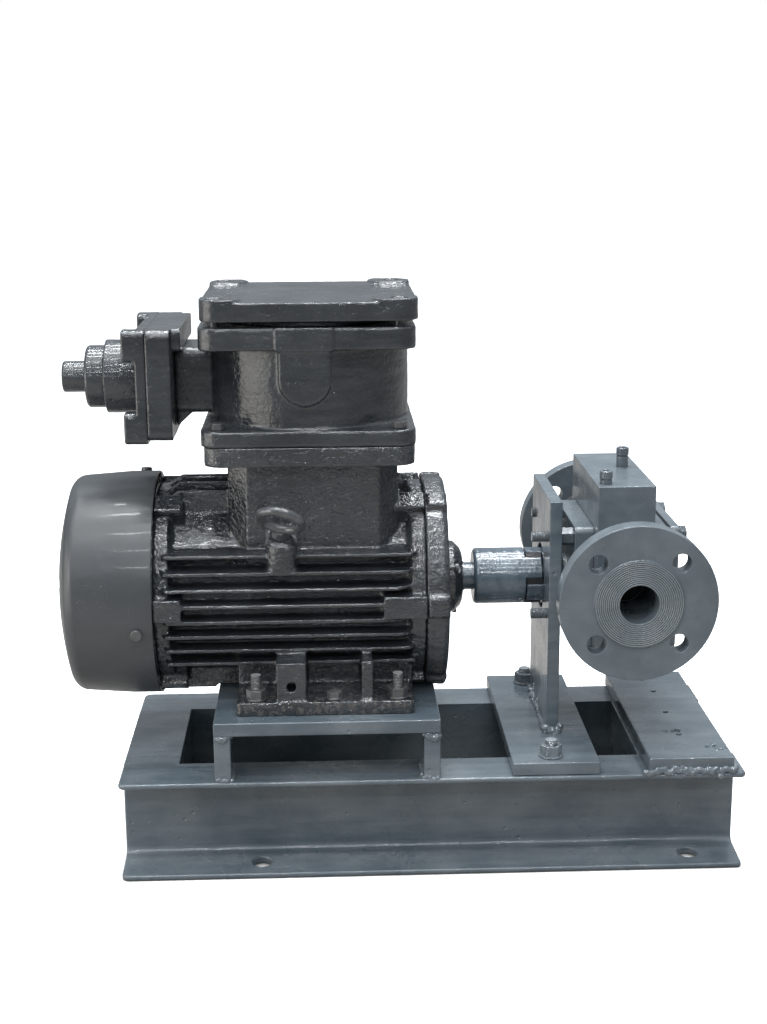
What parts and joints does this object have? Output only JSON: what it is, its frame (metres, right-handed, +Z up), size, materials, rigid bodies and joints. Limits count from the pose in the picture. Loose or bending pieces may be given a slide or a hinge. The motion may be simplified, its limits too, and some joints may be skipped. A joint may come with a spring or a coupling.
{
  "type": "diesel transfer pump",
  "caption": "Gear pump driven by a flameproof motor through a jaw coupling, on a welded channel base, with flanged ports, terminal box and relief valve.",
  "frame": {"origin": "on the floor at the centre of the base frame's footprint", "axes": "+X along the drive line towards the pump end, +Z up, +Y towards the rear port"},
  "size_m": [0.668, 0.31, 0.554],
  "materials": {
    "frame_paint": "semi-gloss blue-grey brush paint over welded steel",
    "motor_enamel": "thick charcoal enamel over rough iron castings",
    "cowl_enamel": "smoother charcoal enamel over pressed steel sheet",
    "pump_paint": "semi-gloss blue-grey brush paint over machined iron",
    "coupling_paint": "glossy blue-grey paint over turned iron",
    "painted_steel": "glossy paint over steel fasteners",
    "zinc_steel": "zinc-plated steel, wet-looking paint in places",
    "shaft_steel": "ground steel",
    "bearing_steel": "polished bearing steel",
    "core_steel": "stacked electrical steel sheets",
    "rotor_metal": "cast aluminium end rings on stacked steel",
    "copper": "varnished copper windings",
    "brass": "plain brass",
    "bush_bronze": "bearing bronze",
    "insulator": "moulded insulating plastic",
    "fan_plastic": "moulded black plastic",
    "black_rubber": "black rubber",
    "gasket": "dark jointing sheet"
  },
  "bodies": {
    "pump_set": {"front_channel": "frame_paint", "rear_channel": "frame_paint", "left_end_channel": "frame_paint", "right_end_channel": "frame_paint", "right_end_plate": "frame_paint", "motor_plate": "frame_paint", "motor_legs": "frame_paint", "bracket_base_plate": "frame_paint", "bracket_plate": "frame_paint", "bracket_bolts": "zinc_steel", "bracket_nuts": "zinc_steel", "foot_bolts": "zinc_steel", "foot_nuts": "zinc_steel", "tie_bolts": "painted_steel", "tie_nuts": "painted_steel", "motor_frame": "motor_enamel", "drive_end_shield": "motor_enamel", "fan_end_shield": "motor_enamel", "drive_end_bearing_cap": "motor_enamel", "fan_cowl": "cowl_enamel", "cowl_screws": "zinc_steel", "end_shield_bolts": "painted_steel", "lifting_eye_bolt": "motor_enamel", "earthing_screw": "zinc_steel", "terminal_box_body": "motor_enamel", "terminal_box_lid": "motor_enamel", "terminal_box_bolts": "painted_steel", "box_cap_screws": "painted_steel", "cable_entry_box": "motor_enamel", "cable_entry_cover": "motor_enamel", "cable_gland": "motor_enamel", "terminal_block": "insulator", "terminal_studs": "brass", "stator_core": "core_steel", "stator_windings": "copper", "bearing_outer_rings": "bearing_steel", "pump_casing": "pump_paint", "front_cover": "pump_paint", "rear_cover": "pump_paint", "end_cover": "pump_paint", "end_cover_gasket": "gasket", "front_port_flange": "pump_paint", "rear_port_flange": "pump_paint", "shaft_bushes": "bush_bronze", "shaft_seal": "black_rubber", "seal_retainer": "shaft_steel", "relief_spring": "shaft_steel", "relief_screws": "painted_steel"},
    "rotor": {"motor_shaft": "shaft_steel", "coupling_keys": "shaft_steel", "rotor_core": "rotor_metal", "cooling_fan": "fan_plastic", "bearing_inner_rings": "bearing_steel", "motor_coupling_hub": "coupling_paint", "coupling_spider": "black_rubber", "pump_coupling_hub": "coupling_paint", "drive_gear_shaft": "shaft_steel"},
    "idler": {"idler_gear_shaft": "shaft_steel"},
    "ball_sets": {"bearing_ball_sets": "bearing_steel"},
    "poppet": {"relief_poppet": "shaft_steel"}
  },
  "joints": [
    {"name": "rotor_spin", "type": "hinge", "parent": "pump_set", "child": "rotor", "pos_m": [0, 0.02, 0.26], "axis": [1, 0, 0], "continuous": true},
    {"name": "idler_spin", "type": "hinge", "parent": "pump_set", "child": "idler", "pos_m": [0.1905, 0.02, 0.2875], "axis": [1, 0, 0], "continuous": true},
    {"name": "ball_set_spin", "type": "hinge", "parent": "pump_set", "child": "ball_sets", "pos_m": [0, 0.02, 0.26], "axis": [1, 0, 0], "continuous": true},
    {"name": "poppet_slide", "type": "slide", "parent": "pump_set", "child": "poppet", "axis": [0, 0, 1], "range_m": [0, 0.004], "stiffness_N_per_m": 4000, "springref_m": -0.002, "deforming": ["relief_spring"]}
  ],
  "couplings": [
    {"joint": "idler_spin", "follows": "rotor_spin", "ratio": -1},
    {"joint": "ball_set_spin", "follows": "rotor_spin", "ratio": 0.4}
  ]
}
